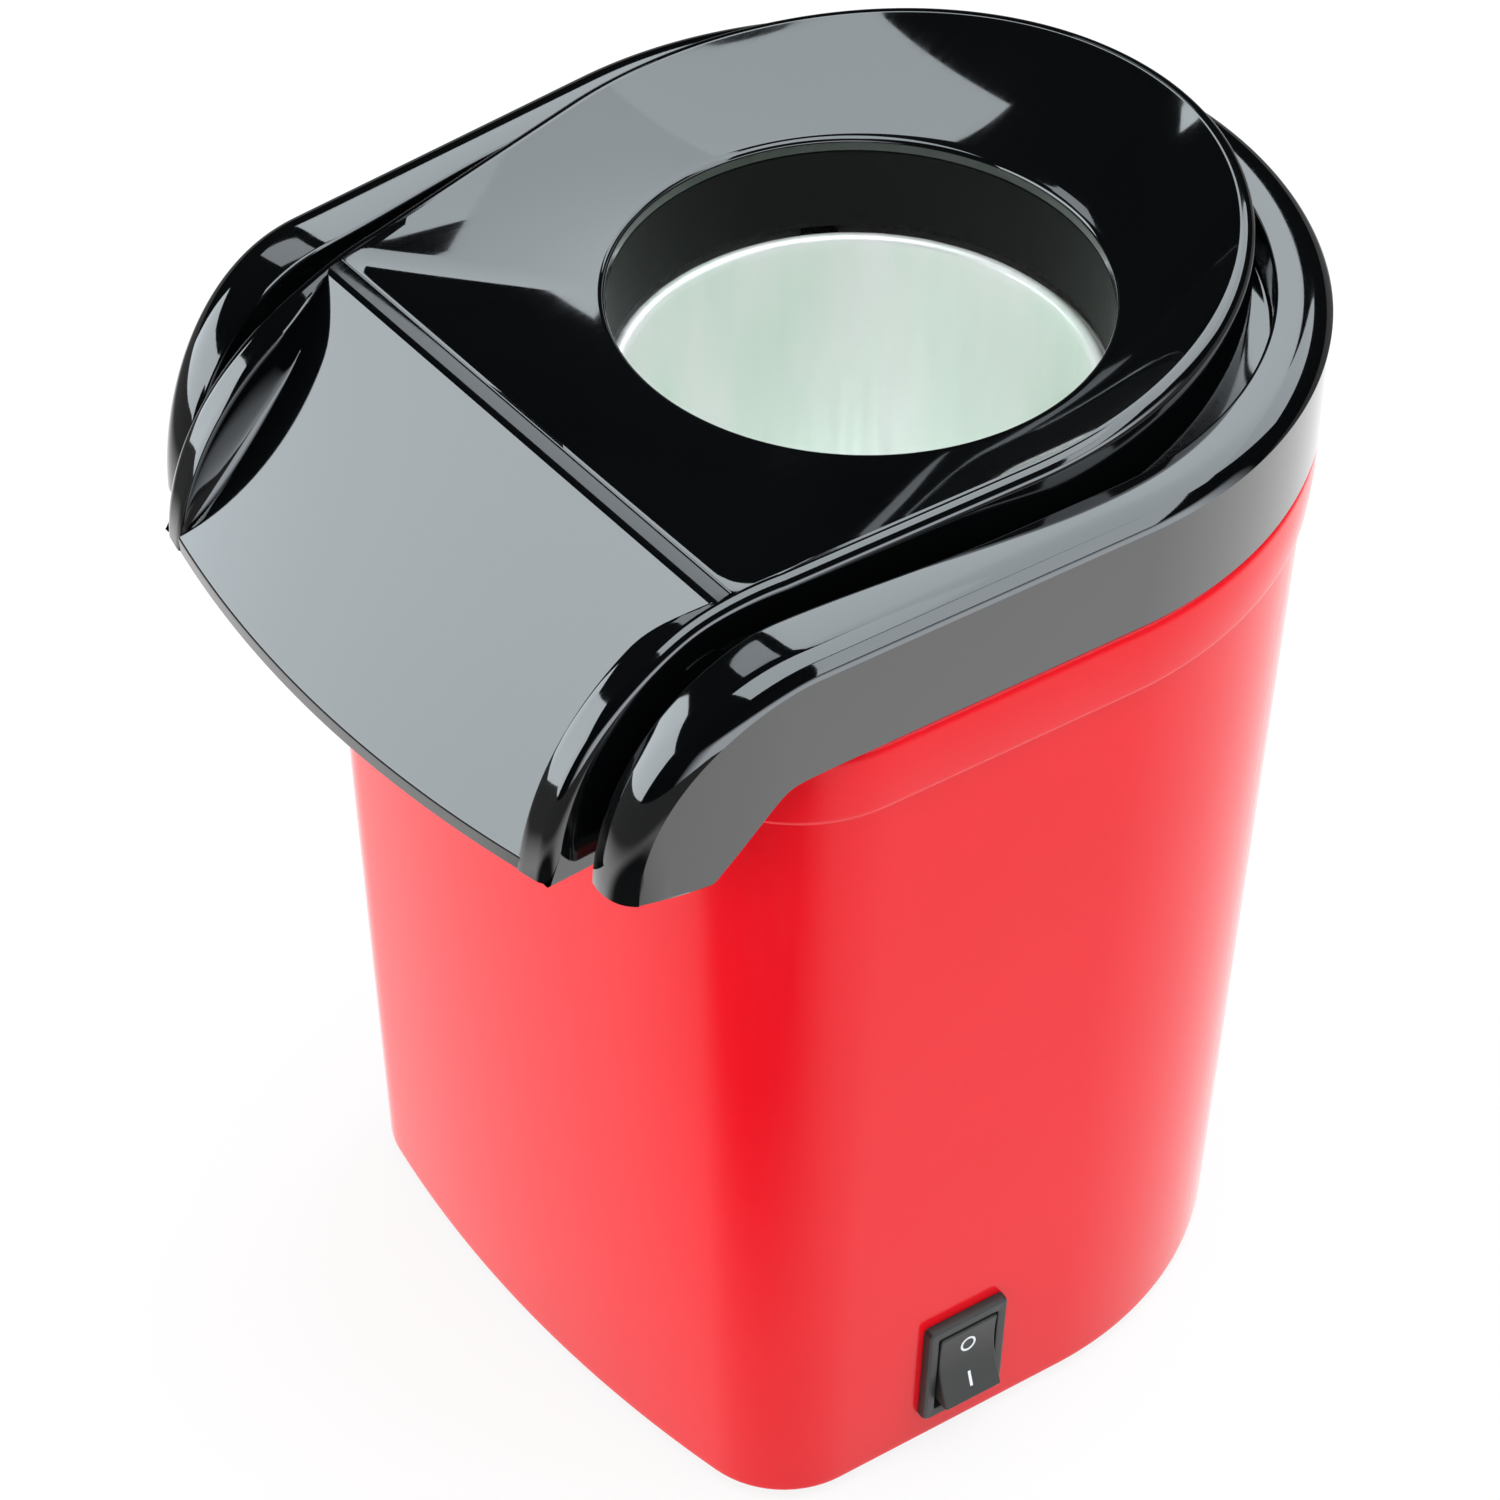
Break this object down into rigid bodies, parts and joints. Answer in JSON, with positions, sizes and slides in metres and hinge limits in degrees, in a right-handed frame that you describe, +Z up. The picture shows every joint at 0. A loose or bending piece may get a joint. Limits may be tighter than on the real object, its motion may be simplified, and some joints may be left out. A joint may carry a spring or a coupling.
{
  "type": "popcorn maker",
  "caption": "Hot-air popcorn maker: D-plan housing, lift-off lid with filling hole and hooded chute, popping chamber over a blower and heater.",
  "frame": {"origin": "on the table, under the middle of the outline", "axes": "+Z up, +Y to the rear, the chute faces -Y, +X the side with the switch"},
  "size_m": [0.1336, 0.1656, 0.1957],
  "materials": {
    "red_shell": "high gloss moulded red plastic",
    "black_gloss": "high gloss moulded black plastic",
    "black_matt": "matt black glass-filled plastic",
    "chamber_aluminium": "drawn aluminium with a rolled rim",
    "plated_steel": "zinc-plated steel sheet",
    "dark_steel": "laminated steel and ferrite",
    "screw_steel": "zinc-plated screws",
    "brass": "brass and sintered bronze",
    "mica": "pressed mica sheet",
    "resistance_wire": "oxidised resistance wire",
    "copper": "enamelled copper wire",
    "ceramic": "glazed ceramic and phenolic",
    "carbon": "carbon brushes",
    "board_green": "solder-masked board",
    "rubber": "soft rubber"
  },
  "bodies": {
    "chassis": {"body_shell": "red_shell", "deck_plate": "black_matt", "deck_screws": "screw_steel", "popping_chamber": "chamber_aluminium", "chamber_screws": "screw_steel", "heater_duct": "plated_steel", "duct_screws": "screw_steel", "mica_plate_x": "mica", "mica_plate_y": "mica", "heating_coil": "resistance_wire", "thermostat": "ceramic", "thermostat_bracket": "plated_steel", "thermal_fuse": "brass", "fuse_clip": "plated_steel", "fan_housing": "black_matt", "motor_can": "plated_steel", "motor_screws": "screw_steel", "motor_end_cap": "ceramic", "front_bush": "brass", "rear_bush": "brass", "brush_left": "carbon", "brush_right": "carbon", "magnet_left": "dark_steel", "magnet_right": "dark_steel", "rectifier_board": "board_green", "rectifier_diodes": "carbon", "base_plate": "black_matt", "base_screws": "screw_steel", "foot_1": "rubber", "foot_2": "rubber", "foot_3": "rubber", "foot_4": "rubber", "switch_housing": "black_matt", "switch_terminals": "brass", "cord_gland": "black_matt", "gland_nut": "black_matt"},
    "lid": {"lid_cover": "black_gloss", "lid_chute": "black_gloss", "lid_screws": "screw_steel"},
    "fan_rotor": {"impeller": "black_matt", "impeller_nut": "brass", "motor_shaft": "plated_steel", "rotor_core": "dark_steel", "rotor_windings": "copper", "commutator": "brass"},
    "rocker": {"switch_rocker": "black_gloss"}
  },
  "joints": [
    {"name": "lid_lift", "type": "slide", "parent": "chassis", "child": "lid", "axis": [0, 0, 1], "range_m": [0, 0.12]},
    {"name": "switch_rock", "type": "hinge", "parent": "chassis", "child": "rocker", "pos_m": [0.05703, -0.00799, 0.01876], "axis": [0.0602, 0.9982, 0], "range_deg": [0, 20]},
    {"name": "fan_spin", "type": "hinge", "parent": "chassis", "child": "fan_rotor", "pos_m": [0, 0.01392, 0.05], "axis": [0, 0, 1], "continuous": true}
  ]
}
